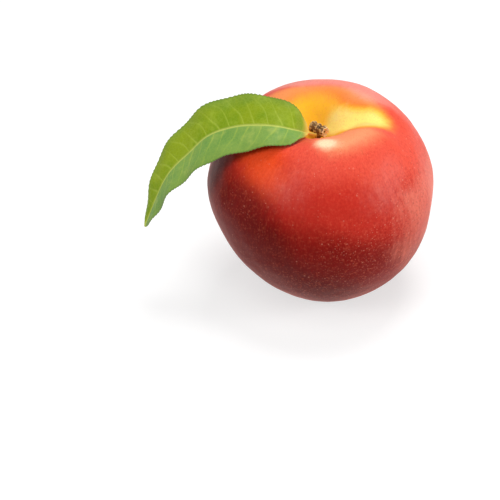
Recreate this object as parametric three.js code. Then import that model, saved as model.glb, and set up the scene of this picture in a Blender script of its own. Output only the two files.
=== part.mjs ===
// A whole nectarine with its woody stem piece and one leaf.
// Millimetres, +Z up. The origin is the centre of the flat spot that the fruit rests on.
// The suture groove runs from the stem cavity towards +X, and the leaf hangs over the side at -X.
import * as THREE from 'three';

// Driving dimensions of the fruit.
const FRUIT_RADIUS = 34.7;
const FRUIT_HALF_HEIGHT = 35.6;
const CROWN_POWER = 1.82;
const BASE_POWER = 2.09;
const FOOT_RADIUS = 7;
const CROWN_LEAN = [1.3, -2];
const BASE_LEAN = [0.45, -0.2];
const BASE_TAPER = 0.18;

// The cavity around the stem, the lower stretch of its rim, and the suture groove.
const CAVITY = { depth: 15.9, x: -0.6, y: -1.7, wide: 10.5, deep: 10.4 };
const LOW_RIM = { depth: 2.7, x: -9.5, y: -12.5, spread: 6 };
const SUTURE = {
  azimuth: THREE.MathUtils.degToRad(-8), halfWidth: 5, crownDepth: 3.4, sideDepth: 0.2, baseDepth: 0.6,
};
const CHEEK = { height: 0.3, offset: 11, spread: 6 };

// The stem piece lies across the cavity, its broken end towards the front.
const STEM_BACK = new THREE.Vector3(-3.8, -1.5, 58.3);
const STEM_FRONT = new THREE.Vector3(0.3, -4.8, 58.3);
const STEM_RADIUS = 1.4;
const STEM_FOOT_LENGTH = 1.9;

// The leaf: the course of its midrib, its half widths and its thickness.
const LEAF_MIDRIB = [
  [-2.7, -5.2, 57.5], [-5.1, -8.7, 60.3], [-8.8, -11.6, 63.1], [-13.2, -12.1, 64.4], [-17.8, -11.1, 64.2],
  [-26.3, -8.3, 61.7], [-34.5, -6.7, 57.3], [-40.4, -6.6, 51], [-47, -7.8, 43.5], [-54, -12, 27.5],
];
const PETIOLE_LENGTH = 4.9;
const FAR_HALF_WIDTH = 10.5;
const NEAR_HALF_WIDTH = 9.8;
const LEAF_THICKNESS = 0.7;
const MIDRIB_THICKNESS = 1;

// Mesh fineness.
const FRUIT_RINGS = 44;
const FRUIT_SECTORS = 72;
const STEM_RINGS = 20;
const STEM_SECTORS = 18;
const LEAF_STATIONS = 44;
const LEAF_HALF_STRIPS = 6;

const { degToRad, lerp, smoothstep } = THREE.MathUtils;

// The bell curve: 1 at the middle, falling to about a third one spread away.
function bell(distance, spread) {
  return Math.exp(-((distance / spread) ** 2));
}

// Builds a closed mesh from rings of points and a point at each end.
// Rings run along the body, and each goes counter-clockwise seen from beyond the last ring.
function closedSkin(firstPole, rings, lastPole) {
  const points = [firstPole, ...rings.flat(), lastPole];
  const count = rings[0].length;
  const last = points.length - 1;
  const at = (ring, sector) => 1 + ring * count + (sector % count);
  const faces = [];
  for (let j = 0; j < count; j += 1) {
    faces.push(0, at(0, j + 1), at(0, j));
    for (let i = 0; i + 1 < rings.length; i += 1) {
      faces.push(at(i, j), at(i, j + 1), at(i + 1, j + 1));
      faces.push(at(i, j), at(i + 1, j + 1), at(i + 1, j));
    }
    faces.push(last, at(rings.length - 1, j), at(rings.length - 1, j + 1));
  }
  const geometry = new THREE.BufferGeometry().setFromPoints(points);
  geometry.setIndex(faces);
  geometry.computeVertexNormals();
  return geometry;
}

// Polar angle of the ring where the rounded side meets the flat spot.
const FOOT_ANGLE = Math.asin((FOOT_RADIUS / FRUIT_RADIUS) ** (BASE_POWER / 2));
const CENTRE = new THREE.Vector3(-1.05, 0.2, FRUIT_HALF_HEIGHT * Math.cos(FOOT_ANGLE) ** (2 / BASE_POWER));

// One point of the skin. Azimuth starts at +X; polar is 0 under the fruit and pi in the cavity.
function skinPoint(azimuth, polar) {
  const rise = -Math.cos(polar);
  const power = lerp(BASE_POWER, CROWN_POWER, smoothstep(rise, -0.35, 0.35));
  const round = FRUIT_RADIUS * Math.sin(polar) ** (2 / power);
  const taper = 1 - BASE_TAPER * smoothstep(-rise, -0.2, 1) * (0.5 - 0.5 * Math.cos(azimuth));
  let x = round * Math.cos(azimuth) * taper;
  let y = round * Math.sin(azimuth) * taper;
  let z = FRUIT_HALF_HEIGHT * Math.sign(rise) * Math.abs(rise) ** (2 / power);

  // The cavity sinks the crown, and its rim dips where the leaf stalk passes over it.
  const crown = smoothstep(rise, 0, 0.5);
  z -= crown * CAVITY.depth * bell(x - CAVITY.x, CAVITY.wide) * bell(y - CAVITY.y, CAVITY.deep);
  z -= crown * LOW_RIM.depth * bell(x - LOW_RIM.x, LOW_RIM.spread) * bell(y - LOW_RIM.y, LOW_RIM.spread);

  // The suture is a groove down one side, with a fuller cheek on each side of it.
  const along = x * Math.cos(SUTURE.azimuth) + y * Math.sin(SUTURE.azimuth);
  const across = y * Math.cos(SUTURE.azimuth) - x * Math.sin(SUTURE.azimuth);
  const side = smoothstep(along, 4, 12);
  const clear = smoothstep(polar, FOOT_ANGLE, FOOT_ANGLE + 0.3);
  const depth = crown * SUTURE.crownDepth * smoothstep(along, 2, 12) * (1 - smoothstep(along, 14, 28))
    + clear * side * (SUTURE.sideDepth * Math.sin(polar) + SUTURE.baseDepth * smoothstep(-rise, 0.55, 0.9));
  const swell = bell(Math.abs(across) - CHEEK.offset, CHEEK.spread);
  const cheek = clear * side * CHEEK.height * swell * Math.sin(polar);
  const distance = Math.hypot(x, y, z);
  const shrink = 1 - (depth * bell(across, SUTURE.halfWidth) - cheek) / distance;
  x *= shrink;
  y *= shrink;
  z *= shrink;

  // The axis of the fruit bends a little towards its crown and its base.
  const bend = (z / FRUIT_HALF_HEIGHT) ** 2;
  const lean = z > 0 ? CROWN_LEAN : BASE_LEAN;
  return new THREE.Vector3(x + lean[0] * bend, y + lean[1] * bend, z).add(CENTRE);
}

function fruitGeometry() {
  const rings = [];
  for (let i = 0; i < FRUIT_RINGS; i += 1) {
    const polar = lerp(FOOT_ANGLE, Math.PI, (i / FRUIT_RINGS) ** 0.92);
    const ring = [];
    for (let j = 0; j < FRUIT_SECTORS; j += 1) {
      const point = skinPoint((2 * Math.PI * j) / FRUIT_SECTORS, polar);
      if (i === 0) point.z = 0;
      ring.push(point);
    }
    rings.push(ring);
  }
  const foot = new THREE.Vector3();
  rings[0].forEach((point) => foot.addScaledVector(point, 1 / FRUIT_SECTORS));
  return closedSkin(foot, rings, skinPoint(0, Math.PI));
}

// Radius of the stem piece along its length: flared ends, and a raised ring scar between two necks.
function stemRadius(along) {
  const flare = 0.3 * bell(along - 0.06, 0.09) + 0.2 * bell(along - 0.84, 0.1);
  const ringScar = 0.25 * bell(along - 0.42, 0.08);
  const necks = 0.2 * bell(along - 0.24, 0.07) + 0.3 * bell(along - 0.62, 0.07);
  return STEM_RADIUS + flare + ringScar - necks;
}

// The stem is a knobbly rod. A foot grows down from its middle to the floor of the cavity.
function stemGeometry() {
  const axis = STEM_FRONT.clone().sub(STEM_BACK);
  const forward = axis.clone().normalize();
  const right = new THREE.Vector3().crossVectors(forward, new THREE.Vector3(0, 0, 1)).normalize();
  const up = new THREE.Vector3().crossVectors(right, forward);
  const place = (along, radius, angle) => STEM_BACK.clone().addScaledVector(axis, along)
    .addScaledVector(right, radius * Math.cos(angle)).addScaledVector(up, radius * Math.sin(angle));
  const rings = [];
  for (let i = 0; i < STEM_RINGS; i += 1) {
    const along = i / (STEM_RINGS - 1);
    const edge = along === 0 || along === 1 ? 0.8 : 1;
    const ring = [];
    for (let j = 0; j < STEM_SECTORS; j += 1) {
      const angle = (-2 * Math.PI * j) / STEM_SECTORS;
      const lump = 1 + 0.05 * Math.sin(3 * angle + 9 * along);
      const foot = STEM_FOOT_LENGTH * bell(along - 0.5, 0.2) * Math.max(0, -Math.sin(angle)) ** 6;
      ring.push(place(along, stemRadius(along) * edge * lump + foot, angle));
    }
    rings.push(ring);
  }
  return closedSkin(place(0.02, 0, 0), rings, place(0.93, 0, 0));
}

// Half width of the blade at a share of its length: 0 at both ends, 1 where it is widest.
function bladeShape(share, rise, fall) {
  const peak = rise / (rise + fall);
  return (share / peak) ** rise * ((1 - share) / (1 - peak)) ** fall;
}

const midrib = new THREE.CatmullRomCurve3(LEAF_MIDRIB.map((point) => new THREE.Vector3(...point)));
const LEAF_LENGTH = midrib.getLength();

// One point of the leaf's middle surface.
// Across is -1 at the near edge, 0 on the midrib and 1 at the far edge.
function leafPoint(along, across) {
  const bladeLength = LEAF_LENGTH - PETIOLE_LENGTH;
  const share = THREE.MathUtils.clamp((along * LEAF_LENGTH - PETIOLE_LENGTH) / bladeLength, 0, 1);
  const droop = degToRad(53) * smoothstep(share, 0.2, 0.85);
  const farFold = degToRad(41 - 12 * smoothstep(share, 0, 0.2));
  const nearFold = degToRad(4 + 18 * smoothstep(share, 0.045, 0.11) - 10 * smoothstep(share, 0.35, 0.6));
  const sweep = 0.09 * smoothstep(share, 0, 0.15) * (1 - smoothstep(share, 0.3, 0.6));
  const far = new THREE.Vector3(
    sweep - Math.sin(farFold) * Math.sin(droop),
    Math.cos(farFold),
    Math.sin(farFold) * Math.cos(droop),
  );
  const near = new THREE.Vector3(
    Math.sin(nearFold) * Math.sin(droop),
    -Math.cos(nearFold),
    -Math.sin(nearFold) * Math.cos(droop),
  );
  const width = across > 0
    ? FAR_HALF_WIDTH * bladeShape(share, 0.47, 0.69)
    : NEAR_HALF_WIDTH * bladeShape(share, 0.69, 0.7);
  const rib = MIDRIB_THICKNESS / 2;
  return midrib.getPointAt(along).addScaledVector(across > 0 ? far : near, Math.abs(across) * (rib + width));
}

// Upward normal of the middle surface, from the slopes along and across the blade.
function leafNormal(along, across) {
  const step = 0.01;
  const ahead = leafPoint(Math.min(along + step, 1), across);
  const behind = leafPoint(Math.max(along - step, 0), across);
  const farther = leafPoint(along, Math.min(across + 0.2, 1));
  const nearer = leafPoint(along, Math.max(across - 0.2, -1));
  return ahead.sub(behind).cross(nearer.sub(farther)).normalize();
}

// The leaf is a thin closed shell, thicker along the midrib, with its petiole as a short rod.
function leafGeometry() {
  const rings = [];
  for (let i = 0; i < LEAF_STATIONS; i += 1) {
    const along = i / (LEAF_STATIONS - 1);
    const top = [];
    const bottom = [];
    for (let k = -LEAF_HALF_STRIPS; k <= LEAF_HALF_STRIPS; k += 1) {
      const across = k / LEAF_HALF_STRIPS;
      const middle = leafPoint(along, across);
      const normal = leafNormal(along, across);
      const rib = Math.max(0, 1 - Math.abs(across) * 4);
      const thickness = lerp(LEAF_THICKNESS, MIDRIB_THICKNESS, rib) * (Math.abs(across) === 1 ? 0.6 : 1);
      top.push(middle.clone().addScaledVector(normal, thickness / 2));
      bottom.push(middle.clone().addScaledVector(normal, -thickness / 2));
    }
    rings.push([...top, ...bottom.reverse()]);
  }
  return closedSkin(leafPoint(0, 0), rings, leafPoint(1, 0));
}

function piece(name, geometry, color, roughness) {
  const material = new THREE.MeshStandardMaterial({ color, roughness, metalness: 0 });
  const mesh = new THREE.Mesh(geometry, material);
  mesh.name = name;
  return mesh;
}

const nectarine = new THREE.Group();
nectarine.name = 'nectarine';
nectarine.add(piece('fruit', fruitGeometry(), 0xc8402a, 0.35));
nectarine.add(piece('stem', stemGeometry(), 0x4f3520, 0.85));
nectarine.add(piece('leaf', leafGeometry(), 0x6f9a35, 0.55));

export default nectarine;
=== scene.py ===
"""A whole nectarine with its woody stem piece and one leaf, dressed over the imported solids.

Shapes are worked out in millimetres in the row's frame and put into the meshes in metres.
"""

import bpy
import numpy as np
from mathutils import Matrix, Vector


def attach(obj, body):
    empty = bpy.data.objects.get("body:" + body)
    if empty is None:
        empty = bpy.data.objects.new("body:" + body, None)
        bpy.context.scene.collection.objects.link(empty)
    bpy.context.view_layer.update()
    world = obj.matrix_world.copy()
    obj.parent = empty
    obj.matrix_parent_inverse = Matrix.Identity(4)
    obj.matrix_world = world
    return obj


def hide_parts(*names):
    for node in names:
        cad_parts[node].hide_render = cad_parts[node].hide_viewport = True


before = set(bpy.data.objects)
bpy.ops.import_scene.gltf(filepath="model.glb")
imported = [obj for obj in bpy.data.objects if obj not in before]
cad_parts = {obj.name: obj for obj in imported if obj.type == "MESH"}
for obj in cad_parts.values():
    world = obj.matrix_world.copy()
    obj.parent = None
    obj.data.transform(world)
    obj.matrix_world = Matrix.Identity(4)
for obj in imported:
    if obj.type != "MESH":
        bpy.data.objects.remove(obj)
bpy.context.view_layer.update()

MM = 0.001

# Driving dimensions of the fruit, the same as its solid has. Lengths are in millimetres.
FRUIT_RADIUS = 34.7
FRUIT_HALF_HEIGHT = 35.6
CROWN_POWER = 1.82
BASE_POWER = 2.09
FOOT_RADIUS = 7
CROWN_LEAN = (1.3, -2)
BASE_LEAN = (0.45, -0.2)
BASE_TAPER = 0.18
CAVITY = dict(depth=15.9, x=-0.6, y=-1.7, wide=10.5, deep=10.4)
LOW_RIM = dict(depth=2.7, x=-9.5, y=-12.5, spread=6)
SUTURE = dict(azimuth=np.radians(-8), half_width=5, crown_depth=3.4, side_depth=0.2, base_depth=0.6)
SUTURE_LIPS = dict(height=0.3, offset=11, spread=6)

# Fineness of the skin, and the relief that its solid leaves out.
SKIN_SECTORS = 360
SKIN_RINGS = 255
RING_CROWDING = 0.9
POLE_ANGLE = 0.01
SWELLINGS = (dict(height=0.1, wavelength=15, seed=3), dict(height=0.03, wavelength=5, seed=4))
FOLD_HEIGHT = 0.04
FOLD_SPREAD = 9
FOOT_SOFTNESS = 0.2
SCAR_RADIUS = 1.5
SCAR_DEPTH = 0.45
SCAR_TIP_RADIUS = 0.5
SCAR_TIP_HEIGHT = 0.25

# The stem piece, lying across the cavity.
STEM_BACK = np.array([-3.8, -1.5, 58.3])
STEM_FRONT = np.array([0.3, -4.8, 58.3])
STEM_RADIUS = 1.45
STEM_FOOT_LENGTH = 2.2
PITH_RECESS = 0.5
STEM_RINGS = 260
STEM_SECTORS = 160

# The leaf: the course of its midrib, and the sizes of its blade.
LEAF_MIDRIB = np.array([
    [-2.7, -5.2, 57.5], [-5.1, -8.7, 60.3], [-8.8, -11.6, 63.1], [-13.2, -12.1, 64.4], [-17.8, -11.1, 64.2],
    [-26.3, -8.3, 61.7], [-34.5, -6.7, 57.3], [-40.4, -6.6, 51], [-47, -7.8, 43.5], [-54, -12, 27.5],
])
PETIOLE_LENGTH = 4.9
PETIOLE_RADIUS = 0.5
FAR_HALF_WIDTH = 10.5
NEAR_HALF_WIDTH = 9.8
FAR_OUTLINE = dict(rise=0.47, fall=0.69)
NEAR_OUTLINE = dict(rise=0.69, fall=0.7)
BLADE_THICKNESS = 0.34
MARGIN_THICKNESS = 0.14
CHANNEL_DEPTH = 0.13
KEEL_DEPTH = 0.42
TOOTH_PITCH = 1.15
TOOTH_HEIGHT = 0.3
TOOTH_RISE = 0.75
VEIN_SPACING = 4.1
VEIN_HALF_WIDTH = 0.24
WAVE_LENGTH = 13
WAVE_HEIGHT = 0.45
CURL_HEIGHT = 0.5
LEAF_STATIONS = 460
LEAF_STRIPS = 80
STATION_CROWDING = 1.02
SPAN_STEPS = 60

# The camera, in millimetres, and the floor and the lamps, in metres and watts. FRAME_SHARE is how far the
# fruit sits right of the frame's middle and above it, over the frame's width. AMBIENT is the strength of the
# light that the white surroundings give, where 1 is how bright they look.
CAMERA_DISTANCE = 600
CAMERA_ELEVATION = np.radians(34)
CAMERA_LENS = 140.8
SENSOR_WIDTH = 36
FRAME_SHARE = (0.1365, 0.128)
FLOOR_HALF_SIZE = 3.0
FLOOR_GREY = 0.45
FLOOR_GLOW = 0.63
AMBIENT = 0.0165
LAMP_AIM = (0, 0, 0.03)
LAMPS = (
    dict(name="key_lamp", place=(0.1, 0.2, 0.9), size=0.45, power=5),
    dict(name="front_lamp", place=(-0.1, -0.6, 1.05), size=0.8, power=5.5),
    dict(name="left_lamp", place=(-0.73, -0.43, 0.46), size=0.35, power=3),
    dict(name="right_lamp", place=(0.9, -0.1, 0.3), size=0.35, power=5),
)


def smooth(value, low, high):
    """Smoothstep: 0 below low, 1 above high, and 3t^2 - 2t^3 between, with t the share of the way."""
    t = np.clip((value - low) / (high - low), 0, 1)
    return t * t * (3 - 2 * t)


def bell(distance, spread):
    """Bell curve: e to the minus (distance over spread) squared."""
    return np.exp(-(distance / spread) ** 2)


def blend(low, high, share):
    """Straight mix of two values."""
    return low + (high - low) * share


def ripple(points, wavelength, seed, waves=7):
    """Gentle unevenness about 0: a sum of seeded plane sine waves, over the square root of their number."""
    random = np.random.default_rng(seed)
    total = 0
    for _ in range(waves):
        direction = random.normal(size=3)
        direction /= np.linalg.norm(direction)
        length = wavelength * random.uniform(0.7, 1.5)
        total = total + np.sin(points @ direction * 2 * np.pi / length + random.uniform(0, 2 * np.pi))
    return total / np.sqrt(waves)


def closed_grid(name, grid, attributes, material, node):
    """Mesh of a grid of points, rings by sectors, closed round each ring and by a fan at both ends.

    The first and last rings are poles, where all points are the same, and each becomes one vertex.
    Attributes are arrays over the same grid, kept as values on the vertices.
    """
    rings, sectors = grid.shape[:2]

    def gather(values):
        between = values[1:-1].reshape(-1, *values.shape[2:])
        return np.concatenate([values[:1, 0], between, values[-1:, 0]])

    points = gather(grid) * MM
    ring = np.arange(rings - 3)[:, None]
    sector = np.arange(sectors)[None, :]
    after = (sector + 1) % sectors
    quads = np.stack([
        1 + ring * sectors + sector, 1 + ring * sectors + after,
        1 + (ring + 1) * sectors + after, 1 + (ring + 1) * sectors + sector,
    ], axis=-1).reshape(-1, 4)
    last = len(points) - 1
    start = last - sectors
    sector, after = sector[0], after[0]
    first_fan = np.stack([np.zeros_like(sector), 1 + after, 1 + sector], axis=-1)
    last_fan = np.stack([np.full_like(sector, last), start + sector, start + after], axis=-1)
    mesh = bpy.data.meshes.new(name)
    mesh.from_pydata(points.tolist(), [], quads.tolist() + first_fan.tolist() + last_fan.tolist())
    mesh.polygons.foreach_set("use_smooth", np.ones(len(mesh.polygons), dtype=bool))
    for key, values in attributes.items():
        kind, field = ("FLOAT_VECTOR", "vector") if values.ndim == 3 else ("FLOAT", "value")
        layer = mesh.attributes.new(key, kind, "POINT")
        layer.data.foreach_set(field, gather(values).astype(np.float32).ravel())
    mesh.materials.append(material)
    mesh.update()
    piece = bpy.data.objects.new(name, mesh)
    bpy.context.scene.collection.objects.link(piece)
    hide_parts(node)
    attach(piece, "root")
    return piece


def grid_normals(grid, closed=True):
    """Unit normals of a grid: the slope round each ring crossed with the slope from ring to ring."""
    if closed:
        round_slope = np.roll(grid, -1, axis=1) - np.roll(grid, 1, axis=1)
    else:
        round_slope = np.gradient(grid, axis=1)
    along_slope = np.gradient(grid, axis=0)
    normals = np.cross(round_slope, along_slope)
    return normals / (np.linalg.norm(normals, axis=-1, keepdims=True) + 1e-12)


class Value:
    """A number that may change over a surface. It wraps a node's output, and arithmetic adds Math nodes."""

    def __init__(self, shader, output):
        self.shader = shader
        self.output = output

    def math(self, operation, *values):
        return self.shader.node("ShaderNodeMath", {"operation": operation}, dict(enumerate(values)))

    def __add__(self, other):
        return self.math("ADD", self, other)

    def __radd__(self, other):
        return self.math("ADD", other, self)

    def __sub__(self, other):
        return self.math("SUBTRACT", self, other)

    def __rsub__(self, other):
        return self.math("SUBTRACT", other, self)

    def __mul__(self, other):
        return self.math("MULTIPLY", self, other)

    def __rmul__(self, other):
        return self.math("MULTIPLY", other, self)

    def clamped(self):
        return self.shader.node("ShaderNodeClamp", {}, {"Value": self})

    def ramp(self, low, high):
        """0 at low and 1 at high, smooth between and level beyond."""
        settings = {"interpolation_type": "SMOOTHSTEP"}
        values = {"Value": self, "From Min": low, "From Max": high}
        return self.shader.node("ShaderNodeMapRange", settings, values)


class Shader:
    """The nodes of a material or of the world."""

    def __init__(self, owner):
        self.owner = owner
        owner.use_nodes = True
        self.tree = owner.node_tree
        self.tree.nodes.clear()

    def node(self, kind, settings, values, out=0):
        """Add a node: its settings first, then a value or a link for each socket named. Gives one output."""
        made = self.tree.nodes.new(kind)
        for key, setting in settings.items():
            setattr(made, key, setting)
        for key, value in values.items():
            socket = made.inputs[key]
            if isinstance(value, Value):
                self.tree.links.new(value.output, socket)
            else:
                socket.default_value = value
        return None if out is None else Value(self, made.outputs[out])

    def attribute(self, name, out="Fac"):
        return self.node("ShaderNodeAttribute", {"attribute_name": name}, {}, out)

    def place(self):
        """The point on the piece, in metres."""
        return self.node("ShaderNodeTexCoord", {}, {}, "Object")

    def noise(self, vector, scale, detail=3, roughness=0.5):
        values = {"Vector": vector, "Scale": scale, "Detail": detail, "Roughness": roughness}
        return self.node("ShaderNodeTexNoise", {}, values)

    def mix(self, share, first, second):
        """A mix of two colours: the first where the share is 0 and the second where it is 1."""
        return self.node("ShaderNodeMix", {"data_type": "RGBA"}, {0: share, 6: first, 7: second}, 2)

    def bump(self, height, distance, strength=1.0):
        return self.node("ShaderNodeBump", {}, {"Height": height, "Distance": distance, "Strength": strength})

    def finish(self, surface, kind="ShaderNodeOutputMaterial"):
        self.node(kind, {}, {"Surface": surface}, None)
        return self.owner


def colour(code):
    """Linear colour of a six-figure web colour code."""
    share = np.array([int(code[k:k + 2], 16) / 255 for k in (0, 2, 4)])
    linear = np.where(share > 0.04045, ((share + 0.055) / 1.055) ** 2.4, share / 12.92)
    return (*linear.tolist(), 1.0)


# ---- the fruit ----

FOOT_ANGLE = np.arcsin((FOOT_RADIUS / FRUIT_RADIUS) ** (BASE_POWER / 2))
CENTRE = np.array([-1.05, 0.2, FRUIT_HALF_HEIGHT * np.cos(FOOT_ANGLE) ** (2 / BASE_POWER)])


def suture_course(x, y):
    """Distance along the suture from the middle axis, and distance across it, both in plan."""
    azimuth = SUTURE["azimuth"]
    return x * np.cos(azimuth) + y * np.sin(azimuth), y * np.cos(azimuth) - x * np.sin(azimuth)


def skin_points(azimuth, polar):
    """The skin as a function of azimuth from +X and polar angle, 0 under the fruit and pi in the cavity.

    A superellipse of revolution, fuller below than above, tapered at -X. A bell-shaped cavity and a dip in
    its rim are taken off it. So is a groove of bell-shaped section along the suture, which has two raised
    lips. The fruit's axis is bent by the square of the height.
    """
    rise = -np.cos(polar)
    power = blend(BASE_POWER, CROWN_POWER, smooth(rise, -0.35, 0.35))
    rounding = FRUIT_RADIUS * np.abs(np.sin(polar)) ** (2 / power)
    taper = 1 - BASE_TAPER * smooth(-rise, -0.2, 1) * (0.5 - 0.5 * np.cos(azimuth))
    x = rounding * np.cos(azimuth) * taper
    y = rounding * np.sin(azimuth) * taper
    z = FRUIT_HALF_HEIGHT * np.sign(rise) * np.abs(rise) ** (2 / power)

    crown = smooth(rise, 0, 0.5)
    hollow = bell(x - CAVITY["x"], CAVITY["wide"]) * bell(y - CAVITY["y"], CAVITY["deep"])
    z = z - crown * CAVITY["depth"] * hollow
    dip = bell(x - LOW_RIM["x"], LOW_RIM["spread"]) * bell(y - LOW_RIM["y"], LOW_RIM["spread"])
    z = z - crown * LOW_RIM["depth"] * dip

    along, across = suture_course(x, y)
    side = smooth(along, 4, 12)
    clear = smooth(polar, FOOT_ANGLE, FOOT_ANGLE + 0.3)
    crown_groove = crown * SUTURE["crown_depth"] * smooth(along, 2, 12) * (1 - smooth(along, 14, 28))
    side_groove = SUTURE["side_depth"] * np.sin(polar) + SUTURE["base_depth"] * smooth(-rise, 0.55, 0.9)
    groove = (crown_groove + clear * side * side_groove) * bell(across, SUTURE["half_width"])
    beside = bell(np.abs(across) - SUTURE_LIPS["offset"], SUTURE_LIPS["spread"])
    lips = clear * side * SUTURE_LIPS["height"] * beside * np.sin(polar)
    distance = np.sqrt(x * x + y * y + z * z)
    shrink = 1 - (groove - lips) / distance
    x, y, z = x * shrink, y * shrink, z * shrink

    bend = (z / FRUIT_HALF_HEIGHT) ** 2
    x = x + np.where(z > 0, CROWN_LEAN[0], BASE_LEAN[0]) * bend
    y = y + np.where(z > 0, CROWN_LEAN[1], BASE_LEAN[1]) * bend
    return np.stack([x, y, z], axis=-1) + CENTRE


def skin_relief(points, azimuth, polar):
    """Small swellings on the skin, and faint folds that run down into the cavity, faded out at the foot."""
    x, y = points[..., 0] - CENTRE[0], points[..., 1] - CENTRE[1]
    cavity = bell(x - CAVITY["x"], FOLD_SPREAD) * bell(y - CAVITY["y"], FOLD_SPREAD)
    cavity = cavity * smooth(points[..., 2], 45, 52)
    swellings = sum(one["height"] * ripple(points, one["wavelength"], one["seed"]) for one in SWELLINGS)
    folds = np.sin(9 * azimuth + 1.3 * np.sin(2 * azimuth)) + 0.6 * np.sin(17 * azimuth + 2)
    inward = smooth(np.pi - polar, 0.02, 0.2)
    return smooth(polar, 0.3, 0.7) * swellings * (1 - cavity) + FOLD_HEIGHT * folds * cavity * inward


def make_fruit(material):
    """The skin grid: the smooth form moved along its normals by its relief, flattened softly where it stands.

    The rings lie closer in the cavity. The blossom scar is a shallow bell-shaped hollow with five lobes, and
    has a small bell-shaped tip in its middle.
    """
    polar = (np.pi * np.linspace(0, 1, SKIN_RINGS) ** RING_CROWDING)[:, None]
    azimuth = (2 * np.pi * np.arange(SKIN_SECTORS) / SKIN_SECTORS)[None, :]
    polar, azimuth = np.broadcast_arrays(polar, azimuth)
    grid = skin_points(azimuth, np.clip(polar, 1e-4, np.pi - 1e-4))
    relief = skin_relief(grid, azimuth, polar)
    at_pole = (polar < POLE_ANGLE) | (polar > np.pi - POLE_ANGLE)
    relief = np.where(at_pole, relief.mean(axis=1, keepdims=True), relief)
    grid = grid + grid_normals(grid) * relief[..., None]

    reach = np.hypot(grid[..., 0], grid[..., 1])
    low = grid[..., 2]
    flat = 0.5 * (low + np.sqrt(low ** 2 + FOOT_SOFTNESS ** 2))
    lobes = 1 + 0.3 * np.sin(5 * azimuth)
    scar = SCAR_DEPTH * bell(reach, SCAR_RADIUS) * lobes - SCAR_TIP_HEIGHT * bell(reach, SCAR_TIP_RADIUS)
    grid[..., 2] = np.where(polar < np.pi / 2, flat + np.where(polar < 1, scar, 0), low)
    grid[0] = grid[0].mean(axis=0)
    grid[-1] = grid[-1].mean(axis=0)
    return closed_grid("fruit_skin", grid, skin_marks(grid, azimuth, polar), material, "fruit")


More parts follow.
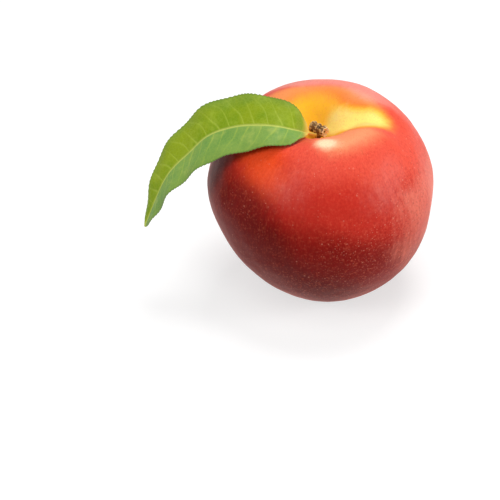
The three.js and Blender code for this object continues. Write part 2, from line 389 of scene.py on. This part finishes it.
def skin_marks(grid, azimuth, polar):
    """Masks on the skin, from 0 to 1, as smooth steps and bell curves of the place on it.

    golden is the yellow ground of the cavity and the upper end of the groove, and pale a painted highlight
    on it, the brightest patch there: a product of smooth steps inward from its upper bound, its lower bound
    and its two ends. throat is painted shade, the browner floor round the stem, apricot the slope behind it,
    crest a painted sheen along the rim in front, and glint a painted highlight, a pale spot on that rim. rosy
    is the shoulders, ember the orange side under the leaf, cheek a lighter streaked flush at +X that is
    partly blush and partly a painted reflection along that edge, and back the yellower blush behind. deep is
    the dark red low on the front, partly the skin's own blush and partly painted shade, and maroon the
    darkest side, partly a dark cheek and partly a painted shadow. haze is painted sheen, a pale pink on the
    shoulder behind the cavity, on the upper front and at the upper right edge. dots is where pores are dense,
    and scar is the blossom scar.
    meridian is a vector that is slow from crown to base, so that noise over it makes streaks.
    """
    x, y, z = (grid[..., k] - CENTRE[k] for k in range(3))
    along, across = suture_course(x, y)
    uneven = ripple(grid, 20, 11)
    crown = smooth(z, 12, 20)

    near = smooth(CAVITY["y"] - y, 0, 9)
    reach = np.hypot(x - CAVITY["x"], y - CAVITY["y"]) * (1 + 0.35 * near)
    hollow = 1 - smooth(reach + 0.8 * uneven, 5, 15)
    upper = across - 2 + 2.2 * smooth(along, 3, 13) + smooth(along, 14, 19)
    lower = 0.8 + 3.5 * smooth(along, 13, 20) - 5 * smooth(along, 6, 11) - across
    ends = np.maximum(4.4 - along, 0.75 * (along - 15.4))

    def within(inner, outer):
        bounds = [1 - smooth(bound + 0.4 * uneven, inner, outer) for bound in (upper, lower, ends)]
        return np.prod(bounds, axis=0)

    channel = within(1.5, 7.5) * (1 - 0.5 * smooth(along, 16, 22))
    # Painted highlight: a pale spot on the rim in front of the stem, and a fainter one at the near end of the
    # pale patch.
    glint = bell(np.hypot(0.7 * (x - 1.5), y + 18.3), 2.4) \
        + 0.22 * bell(np.hypot(along - 5.5, across - 2.5), 4)
    # Painted sheen along the rim in front of the cavity, with a halo round the painted highlight there.
    crest_sheen = bell(np.hypot((along - 11) / 9, (across + 12 - 0.3 * (along - 11)) / 5.5), 1) \
        + 0.6 * bell(np.hypot(0.8 * (x - 3.5), y + 18), 4.5)
    # Painted shade on the cavity's floor round the stem.
    throat_shade = bell(np.hypot(x - 2.5, y + 3.5), 4.2)
    slope = np.hypot((x + 1) / 20.5, y / 10.5) + 0.06 * uneven
    apricot = (1 - smooth(slope, 0.7, 1.25)) * smooth(y, -3, 3)
    # Painted sheen: a pale pink on the shoulder behind the cavity, on the upper front and at the upper right
    # edge.
    ring = np.hypot(0.8 * x, y) + uneven
    behind = smooth(ring, 8, 13) * (1 - smooth(ring, 14, 23)) * smooth(y + 0.2 * x + uneven, 5, 11)
    front_sheen = 0.3 * bell(x + 9, 9) * bell(z - 18, 8) + 0.36 * bell(x - 18, 9) * bell(z - 15, 9)
    side_sheen = 0.4 * bell(x - 28, 5) * bell(z - 21, 7) * smooth(y, -6, 6)
    # A lighter coral at +X, partly blush and partly a painted reflection along that edge.
    flush_and_sheen = smooth(np.cos(azimuth + 0.1) + 0.05 * uneven, 0.45, 1)
    turning = np.stack([np.cos(azimuth), np.sin(azimuth), 0.12 * polar], axis=-1)
    return dict(
        golden=crown * np.maximum(hollow, channel),
        # A painted highlight on the yellow ground of the groove.
        pale=crown * within(0.2, 5.6),
        throat_shade=crown * throat_shade, apricot=crown * apricot, crest_sheen=crown * crest_sheen, glint=crown * glint,
        rosy=smooth(z + 0.25 * x + uneven, 14, 28),
        ember=bell(x + 17, 8.5) * bell(z - 22.5, 8) * smooth(-y, 2, 12),
        cheek_and_sheen=flush_and_sheen * (1 - smooth(z, 8, 24)) * (1 - 0.6 * smooth(-z, 4, 26)),
        back=smooth(y, 8, 28) * smooth(z + 6 * uneven, -30, 8),
        # Darker red low on the front, partly the skin's own blush and partly painted shade.
        deep=smooth(-z - 0.35 * x + 2 * uneven, -17, 6) * (1 - smooth(y, -4, 22)),
        # The darkest side, partly a dark maroon cheek and partly a painted shadow.
        maroon_and_shade=smooth(-0.8 * x - z + 2.5 * uneven, -8, 16) * (1 - smooth(y, -8, 24)) * smooth(z, -35, -18),
        # Painted sheen, gathered from the three parts above.
        sheen_haze=np.clip(crown * behind + (y < 0) * front_sheen + side_sheen, 0, 1),
        dots=smooth(-z + 0.8 * x + 3 * uneven, -12, 16),
        scar=bell(np.hypot(grid[..., 0], grid[..., 1]), 1.1) * (polar < 1),
        meridian=turning * (0.3 + 0.7 * np.sin(polar))[..., None],
    )


def specks(shader, place, scale, more):
    """Round specks, one in some of the cells of a random pattern: a larger `more` gives more cells one."""
    cell = {"Vector": place, "Scale": scale, "Randomness": 1.0}
    spread = shader.node("ShaderNodeTexVoronoi", {}, cell, "Distance")
    chance = shader.node("ShaderNodeTexVoronoi", {}, cell, "Color")
    pick, size = (shader.node("ShaderNodeSeparateColor", {}, {"Color": chance}, out) for out in (0, 1))
    return (1 - (spread - size * 0.08).ramp(0.07, 0.24)) * (pick + more).ramp(0.85, 1.1)


def skin_material():
    """Waxy red skin over a yellow ground: blush with ragged edges, streaks along the meridians, pale pores.

    Each mask is made ragged with noise, stepped between two levels, and lays a colour over those before it.
    Some lay painted highlights, painted sheen and painted shade, as the notes beside them say.
    """
    shader = Shader(bpy.data.materials.new("nectarine_skin"))
    place = shader.place()
    meridian = shader.attribute("meridian", "Vector")
    streaks = shader.noise(meridian, 22, 4, 0.6) - 0.5
    patches = shader.noise(place, 75, 4, 0.55) - 0.5
    mottle = shader.noise(place, 420, 4, 0.6) - 0.5
    grain = shader.noise(place, 1300, 3, 0.6)

    skin = colour("D03226")
    for mask, unevenness, low, high, share, code in (
            # Partly the skin's own dark blush and partly painted shade, low on the front.
            ("deep", patches * 0.25 + streaks * 0.2 + mottle * 0.2, 0.05, 0.95, 1.0, "8C0C06"),
            # Partly a dark maroon cheek and partly a painted shadow on the lower left.
            ("maroon_and_shade", patches * 0.5 + streaks * 0.6 + mottle * 0.2, 0.05, 1.1, 0.9, "600A08"),
            ("back", patches * 0.8 + streaks * 0.8, 0.35, 1.1, 0.8, "FFA844"),
            ("rosy", patches * 0.2 + streaks * 0.3, 0.15, 0.95, 0.8, "EE5844"),
            ("ember", patches * 0.3 + streaks * 0.6, 0.1, 0.95, 0.8, "F4501A"),
            # Partly blush and partly a painted reflection along the +X edge.
            ("cheek_and_sheen", patches * 0.6 + streaks * 0.7 + mottle * 0.3, 0.36, 1.2, 0.82, "F4826E"),
            # Painted sheen along the rim in front of the cavity.
            ("crest_sheen", streaks * 0.3 + patches * 0.3 + mottle * 0.2, 0.1, 0.9, 0.75, "FAA672"),
            ("apricot", streaks * 0.25 + mottle * 0.15, 0.1, 0.8, 0.95, "F49656"),
            ("golden", streaks * 0.16 + patches * 0.2 + mottle * 0.1, 0.06, 0.45, 1.0, "F58A3C"),
            ("golden", streaks * 0.16 + patches * 0.2 + mottle * 0.1, 0.3, 0.85, 1.0, "FCBC2C"),
            # Painted shade on the floor of the cavity round the stem.
            ("throat_shade", mottle * 0.3, 0.1, 0.95, 0.5, "D08420"),
            # Painted highlight on the yellow ground of the groove.
            ("pale", streaks * 0.25 + patches * 0.2 + mottle * 0.15, 0.05, 0.85, 0.95, "FFE87C"),
            # Painted highlight: a pale spot on the rim in front of the stem.
            ("glint", mottle * 0.6, 0.08, 0.9, 0.9, "FCE6BC"),
            # Painted sheen: a pale pink on the shoulders and the upper front.
            ("sheen_haze", patches * 0.25 + mottle * 0.3 + streaks * 0.2, 0.1, 0.95, 0.64, "F8A89C"),
    ):
        skin = shader.mix((shader.attribute(mask) + unevenness).ramp(low, high) * share, skin, colour(code))

    threads = shader.noise(meridian, 90, 3, 0.65)
    rosy = shader.attribute("rosy")
    skin = shader.mix(threads.ramp(0.5, 0.75) * (0.12 + rosy * 0.2), skin, colour("FF7448"))
    skin = shader.mix(threads.ramp(0.5, 0.25) * (0.18 + rosy * 0.12), skin, colour("B01C10"))
    dots = shader.attribute("dots")
    skin = shader.mix(grain.ramp(0.5, 0.72) * (dots * 0.26 + 0.16), skin, colour("EE7256"))
    reddish = 1 - shader.attribute("golden").clamped()
    skin = shader.mix(grain.ramp(0.5, 0.3) * (dots * 0.2 + 0.14) * reddish, skin, colour("8E140E"))

    large_pores = specks(shader, place, 820, dots * 0.2)
    small_pores = specks(shader, place, 1500, dots * 0.5 + patches * 0.8)
    pores = (large_pores + small_pores).clamped()
    skin = shader.mix(pores * 0.5, skin, colour("F09C84"))
    skin = shader.mix(shader.attribute("scar").clamped(), skin, colour("4A3220"))

    roughness = 0.42 + patches * 0.12 + pores * 0.12 + (grain - 0.5) * 0.1
    relief = shader.bump(grain * 0.5 + mottle + pores * 0.6, 0.00006, 0.6)
    surface = shader.node("ShaderNodeBsdfPrincipled", {}, {
        "Base Color": skin, "Roughness": roughness, "Normal": relief, "IOR": 1.45, "Specular IOR Level": 0.09,
        "Sheen Weight": 0.5, "Sheen Roughness": 0.3, "Sheen Tint": colour("FF9A88"),
    })
    return shader.finish(surface)


# ---- the stem ----

def stem_radius(along):
    """Radius along the stem: flared ends, and a raised ring scar between two necks."""
    flare = 0.3 * bell(along - 0.06, 0.09) + 0.2 * bell(along - 0.84, 0.1)
    ring_scar = 0.25 * bell(along - 0.42, 0.08)
    necks = 0.2 * bell(along - 0.24, 0.07) + 0.3 * bell(along - 0.62, 0.07)
    return STEM_RADIUS + flare + ring_scar - necks


def make_stem(material):
    """Rings about the stem's axis, by a profile over the back end, along the bark and into the broken pith.

    The radius has waves round the stem for ridges, waves along it for wrinkles, and a bell-shaped foot that
    grows down from its middle to the cavity's floor. The broken end is jagged by waves round it.
    """
    axis = STEM_FRONT - STEM_BACK
    length = np.linalg.norm(axis)
    forward = axis / length
    right = np.cross(forward, [0, 0, 1])
    right /= np.linalg.norm(right)
    up = np.cross(right, forward)

    course = np.linspace(0, 1, STEM_RINGS)[:, None]
    angle = (-2 * np.pi * np.arange(STEM_SECTORS) / STEM_SECTORS)[None, :]
    back_cap = smooth(course, 0, 0.1)
    front_cap = 1 - smooth(course, 0.86, 1)
    along = np.clip((course - 0.08) / 0.8, 0, 1)
    cover = np.sqrt(np.clip(1 - (1 - back_cap) ** 2, 0, 1)) * front_cap
    base = stem_radius(along)
    wrinkles = 0.05 * np.sin(55 * along + 2 * np.sin(angle)) * bell(along - 0.42, 0.3)
    ridges = 0.07 * np.sin(8 * angle + 5 * along) + 0.05 * np.sin(13 * angle - 9 * along) \
        + 0.05 * np.sin(3 * angle + 9 * along)
    splinters = 0.18 * np.sin(4 * angle + 1) + 0.14 * np.sin(9 * angle) + 0.1 * np.sin(15 * angle + 2)
    jag = smooth(course, 0.8, 0.9) * splinters
    foot = STEM_FOOT_LENGTH * bell(along - 0.5, 0.2) * np.clip(-np.sin(angle), 0, None) ** 6
    radius = (base + wrinkles + ridges) * cover + foot * (cover > 0.5)
    recess = smooth(course, 0.88, 0.96) * PITH_RECESS
    place = along * length - recess + jag * front_cap + 0.1 * np.sin(3 * angle) * (1 - back_cap)
    grid = STEM_BACK + place[..., None] * forward \
        + (radius * np.cos(angle))[..., None] * right + (radius * np.sin(angle))[..., None] * up
    grid[0] = grid[0].mean(axis=0)
    grid[-1] = grid[-1].mean(axis=0)

    ridge = np.clip(0.5 + 2.2 * (ridges + 1.6 * wrinkles) + 0.8 * (base - STEM_RADIUS), 0, 1)
    pale = smooth(course, 0.8, 0.88) * (1 - smooth(course, 0.93, 0.97)) + 0.7 * bell(course - 0.09, 0.03)
    marks = {name: np.broadcast_to(mask, radius.shape) for name, mask in (("pale", pale), ("ridge", ridge))}
    return closed_grid("stem_bark", grid, marks, material, "stem")


def bark_material():
    """Dark brown bark with lighter ridges, and pale ragged wood at both ends."""
    shader = Shader(bpy.data.materials.new("stem_bark"))
    place = shader.place()
    grain = shader.noise(place, 2600, 4, 0.65)
    blotches = shader.noise(place, 700, 3)
    bark = shader.mix(blotches.ramp(0.3, 0.6), colour("2C1806"), colour("7A5426"))
    bark = shader.mix(shader.attribute("ridge").ramp(0.45, 0.85) * 0.85, bark, colour("D8B070"))
    pale = (shader.attribute("pale") + (grain - 0.5) * 0.8).ramp(0.3, 0.8)
    bark = shader.mix(pale, bark, colour("ECCB92"))
    surface = shader.node("ShaderNodeBsdfPrincipled", {}, {
        "Base Color": bark, "Roughness": 0.75 + (grain - 0.5) * 0.3,
        "Normal": shader.bump(grain + blotches, 0.00012),
    })
    return shader.finish(surface)


# ---- the leaf ----

def along_curve(points, shares):
    """Points on a smooth curve through the given ones, at shares of its length, and that length.

    The spans are Catmull-Rom, with knots spaced by the square root of the distances. Each point of a span
    is a mix of three mixes of its four neighbours, and the shares are looked up in the travelled length.
    """
    padded = np.vstack([2 * points[0] - points[1], points, 2 * points[-1] - points[-2]])
    steps = np.linalg.norm(np.diff(padded, axis=0), axis=1)
    knot = np.r_[0, np.cumsum(steps ** 0.5)]
    fine = []
    for k in range(1, len(padded) - 2):
        p0, p1, p2, p3 = padded[k - 1:k + 3]
        t0, t1, t2, t3 = knot[k - 1:k + 3]
        t = np.linspace(t1, t2, SPAN_STEPS, endpoint=False)[:, None]
        a1 = blend(p0, p1, (t - t0) / (t1 - t0))
        a2 = blend(p1, p2, (t - t1) / (t2 - t1))
        a3 = blend(p2, p3, (t - t2) / (t3 - t2))
        b1 = blend(a1, a2, (t - t0) / (t2 - t0))
        b2 = blend(a2, a3, (t - t1) / (t3 - t1))
        fine.append(blend(b1, b2, (t - t1) / (t2 - t1)))
    fine = np.vstack([*fine, points[-1:]])
    travelled = np.r_[0, np.cumsum(np.linalg.norm(np.diff(fine, axis=0), axis=1))]
    wanted = shares * travelled[-1]
    course = np.stack([np.interp(wanted, travelled, fine[:, k]) for k in range(3)], axis=-1)
    return course, travelled[-1]


def blade_shape(share, rise, fall):
    """Half width of the blade at a share of its length: share^rise (1-share)^fall, 1 where it is widest."""
    peak = rise / (rise + fall)
    return (share / peak) ** rise * ((1 - share) / (1 - peak)) ** fall


def vein_ridge(along, out, side):
    """Side veins: 1 on a vein and 0 off it, by a bell curve of the distance to the nearest one.

    Each leaves the midrib at a steep angle and bends towards the tip, by the square of the distance out.
    """
    phase = (along - 0.3 * out - 0.03 * out ** 2) / VEIN_SPACING + 0.45 * side
    phase = phase + 0.1 * np.sin(along * 0.9 + 2 * side)
    nearest = np.abs(phase - np.round(phase)) * VEIN_SPACING
    return bell(nearest, VEIN_HALF_WIDTH)


def leaf_sides(share):
    """Directions straight out from the midrib, on the far side and on the near side.

    Each is turned up or down from level by its fold. The droop tips it along the leaf, as the leaf hangs
    down beyond the fruit, and the far side is swept a little towards the tip next to the petiole.
    """
    droop = np.radians(53) * smooth(share, 0.2, 0.85)
    far_fold = np.radians(41 - 12 * smooth(share, 0, 0.2))
    near_fold = np.radians(4 + 18 * smooth(share, 0.045, 0.11) - 10 * smooth(share, 0.35, 0.6))
    sweep = 0.09 * smooth(share, 0, 0.15) * (1 - smooth(share, 0.3, 0.6))
    up, down = np.sin(far_fold), np.sin(near_fold)
    far = np.stack([sweep - up * np.sin(droop), np.cos(far_fold), up * np.cos(droop)], axis=-1)
    near = np.stack([down * np.sin(droop), -np.cos(near_fold), -down * np.cos(droop)], axis=-1)
    return far, near


def make_leaf(material):
    """A thin closed shell about the blade's middle surface.

    The middle surface runs along the midrib and straight out from it to both sides, to the width of the
    blade. It is then lifted by the waves of the margin and by a slight curl, and pressed in at the side
    veins. The margin has small teeth that point to the tip. The shell is thinner at the margin. Its midrib
    is a channel above and a keel below, and goes on as the round petiole.
    """
    stations = np.linspace(0, 1, LEAF_STATIONS) ** STATION_CROWDING
    middle, length = along_curve(LEAF_MIDRIB, stations)
    travelled = (stations * length)[:, None]
    share = np.clip((travelled - PETIOLE_LENGTH) / (length - PETIOLE_LENGTH), 0, 1)
    across = np.linspace(-1, 1, LEAF_STRIPS + 1)[None, :]
    reach = np.abs(across)
    is_far = across > 0

    far, near = leaf_sides(share)
    far_width = FAR_HALF_WIDTH * blade_shape(share, **FAR_OUTLINE)
    near_width = NEAR_HALF_WIDTH * blade_shape(share, **NEAR_OUTLINE)
    width = np.where(is_far, far_width, near_width)
    tooth = (travelled / TOOTH_PITCH + 0.3 * np.sin(travelled * 0.7)) % 1
    tooth = np.where(tooth < TOOTH_RISE, tooth / TOOTH_RISE, (1 - tooth) / (1 - TOOTH_RISE))
    tooth = (tooth - 0.6) * TOOTH_HEIGHT * smooth(reach, 0.8, 1) * np.clip(width / 5, 0, 1)
    rib = 0.5 * (1 - 0.75 * smooth(share, 0.2, 1))
    out = reach * (rib + width) + tooth
    surface = middle[:, None, :] + np.where(is_far[..., None], far, near) * out[..., None]
    normals = grid_normals(surface, closed=False)

    vein = vein_ridge(travelled, out, np.where(is_far, 1, 0)) * smooth(out, 0.2, 0.8)
    vein = vein * (1 - 0.85 * reach) * smooth(share, 0, 0.06)
    wave = np.sin(travelled * 2 * np.pi / WAVE_LENGTH + np.where(is_far, 1.5, -1.5))
    wave = WAVE_HEIGHT * wave * smooth(reach, 0.35, 1) * smooth(width, 1, 5)
    curl = CURL_HEIGHT * reach * (1 - reach) * smooth(width, 1, 6)
    surface = surface + normals * (wave + curl - 0.1 * vein)[..., None]
    normals = grid_normals(surface, closed=False)

    is_blade = smooth(width, 0.3, 2)
    midrib_line = bell(out, 0.3) * smooth(share, 0, 0.05)
    rod = PETIOLE_RADIUS * np.sqrt(np.clip(1 - across ** 2, 0, 1)) * (1 - 0.5 * smooth(share, 0.4, 1))
    flat = blend(BLADE_THICKNESS, MARGIN_THICKNESS, reach ** 3) / 2
    keel = KEEL_DEPTH * bell(out, 0.5) * (1 - 0.7 * smooth(share, 0.3, 1))
    over = blend(rod, flat - CHANNEL_DEPTH * midrib_line, is_blade)
    under = blend(rod, flat + keel + 0.06 * vein, is_blade)
    top = surface + normals * over[..., None]
    bottom = surface - normals * under[..., None]
    grid = np.concatenate([top, bottom[:, ::-1]], axis=1)
    base = np.broadcast_to(middle[0], grid[:1].shape)
    tip = np.broadcast_to(middle[-1] + 0.3 * (middle[-1] - middle[-2]), grid[:1].shape)
    grid = np.concatenate([base, grid, tip], axis=0)

    def shell(above, below):
        above, below = (np.broadcast_to(mask, out.shape) for mask in (above, below))
        joined = np.concatenate([above, below[:, ::-1]], axis=1)
        return np.concatenate([joined[:1], joined, joined[-1:]], axis=0)

    marks = dict(
        vein=vein, rib=np.maximum(midrib_line, 1 - is_blade), margin=smooth(reach, 0.93, 1) * is_blade,
        far=smooth(across, -0.03, 0.06), edge=reach, petiole=1 - smooth(share, 0, 0.05),
    )
    marks = {name: shell(mask, mask) for name, mask in marks.items()}
    marks["below"] = shell(0, 1)
    return closed_grid("leaf_blade", grid, marks, material, "leaf")


def leaf_material():
    """Green blade with a fine net between its paler midrib and side veins, paler below, and a tan petiole."""
    shader = Shader(bpy.data.materials.new("leaf_blade"))
    place = shader.place()
    cloud = shader.noise(place, 110, 4, 0.6)
    blotch = shader.noise(place, 260, 3, 0.6)
    fine = shader.noise(place, 1400, 3, 0.6)
    cells = {"Vector": place, "Scale": 900}
    cell_edge = shader.node("ShaderNodeTexVoronoi", {"feature": "DISTANCE_TO_EDGE"}, cells, "Distance")
    net = 1 - cell_edge.ramp(0, 0.16)
    far = shader.attribute("far")
    edge = shader.attribute("edge") + (cloud - 0.5) * 0.8
    # Painted light: the far half is a yellower green for the light shining through it, and the near half a
    # bluer green for the light it reflects. The next two tints keep that split.
    green = shader.mix(far, colour("7C9E4A"), colour("889C18"))
    for share, tint in (
            (cloud.ramp(0.4, 0.68) * 0.6, shader.mix(far, colour("5A8C42"), colour("648A0C"))),
            (blotch.ramp(0.5, 0.75) * 0.5, shader.mix(far, colour("A8B85C"), colour("A4B83C"))),
            (edge.ramp(0.5, 1.1) * 0.55, colour("74903C")),
            (net * 0.14, colour("A8BC48")),
            (shader.attribute("vein").clamped() * 0.5, colour("B8C850")),
            (shader.attribute("rib").clamped() * 0.85, colour("C8CE64")),
            (shader.attribute("margin") * 0.5, colour("54702C")),
            (shader.attribute("below") * 0.8, colour("B4CE8E")),
            (shader.attribute("petiole") * 0.9, colour("E4BC58")),
    ):
        green = shader.mix(share, green, tint)
    surface = shader.node("ShaderNodeBsdfPrincipled", {}, {
        "Base Color": green, "Roughness": 0.46 + (fine - 0.5) * 0.12, "Specular IOR Level": 0.12,
        "Normal": shader.bump(net * 0.5 + fine * 0.3 + cloud, 0.00008, 0.7),
    })
    return shader.finish(surface)


# ---- the surroundings ----

def make_camera():
    """The camera looks along +Y and down. The fruit sits to the right of the frame's middle and above it."""
    forward = np.array([0, np.cos(CAMERA_ELEVATION), -np.sin(CAMERA_ELEVATION)])
    up = np.array([0, np.sin(CAMERA_ELEVATION), np.cos(CAMERA_ELEVATION)])
    right = np.array([1, 0, 0])
    eye = CENTRE - CAMERA_DISTANCE * forward
    frame_width = CAMERA_DISTANCE * SENSOR_WIDTH / CAMERA_LENS
    aim = CENTRE - FRAME_SHARE[0] * frame_width * right - FRAME_SHARE[1] * frame_width * up
    data = bpy.data.cameras.new("camera")
    data.lens = CAMERA_LENS
    data.sensor_width = SENSOR_WIDTH
    camera = bpy.data.objects.new("camera", data)
    camera.location = Vector(eye * MM)
    camera.rotation_euler = Vector((aim - eye).tolist()).to_track_quat("-Z", "Y").to_euler()
    bpy.context.scene.collection.objects.link(camera)
    bpy.context.scene.camera = camera


def seen_share(shader):
    """1 where the camera, a reflection or a clear body looks, and 0 for the light that falls on things."""
    rays = ("Is Camera Ray", "Is Glossy Ray", "Is Transmission Ray")
    camera, glossy, clear = (shader.node("ShaderNodeLightPath", {}, {}, ray) for ray in rays)
    return (camera + glossy + clear).clamped()


def make_floor():
    """A wide pale floor that keeps the shadow and looks white away from it."""
    shader = Shader(bpy.data.materials.new("pale_floor"))
    grey = (FLOOR_GREY, FLOOR_GREY, FLOOR_GREY, 1)
    plain = shader.node("ShaderNodeBsdfDiffuse", {}, {"Color": grey})
    glow = shader.node("ShaderNodeEmission", {}, {"Color": (1, 1, 1, 1), "Strength": FLOOR_GLOW})
    lit = shader.node("ShaderNodeAddShader", {}, {0: plain, 1: glow})
    surface = shader.node("ShaderNodeMixShader", {}, {0: seen_share(shader), 1: plain, 2: lit})
    corners = [(x * FLOOR_HALF_SIZE, y * FLOOR_HALF_SIZE, 0) for x, y in ((-1, -1), (1, -1), (1, 1), (-1, 1))]
    mesh = bpy.data.meshes.new("floor")
    mesh.from_pydata(corners, [], [(0, 1, 2, 3)])
    mesh.materials.append(shader.finish(surface))
    floor = bpy.data.objects.new("floor", mesh)
    bpy.context.scene.collection.objects.link(floor)


def make_lamp(name, place, size, power):
    """A square soft lamp that faces the fruit, in metres and watts."""
    data = bpy.data.lights.new(name, "AREA")
    data.size = size
    data.energy = power
    lamp = bpy.data.objects.new(name, data)
    lamp.location = place
    lamp.rotation_euler = (Vector(LAMP_AIM) - Vector(place)).to_track_quat("-Z", "Y").to_euler()
    bpy.context.scene.collection.objects.link(lamp)


def make_light():
    """White surroundings that give the fruit very little light, and broad soft lamps that give the rest."""
    world = Shader(bpy.data.worlds.new("studio"))
    strength = blend(AMBIENT, 1, seen_share(world))
    white = world.node("ShaderNodeBackground", {}, {"Color": (1, 1, 1, 1), "Strength": strength})
    bpy.context.scene.world = world.finish(white, "ShaderNodeOutputWorld")
    for lamp in LAMPS:
        make_lamp(**lamp)


make_camera()
make_floor()
make_light()
make_fruit(skin_material())
make_stem(bark_material())
make_leaf(leaf_material())

bpy.context.scene.view_settings.view_transform = "Standard"
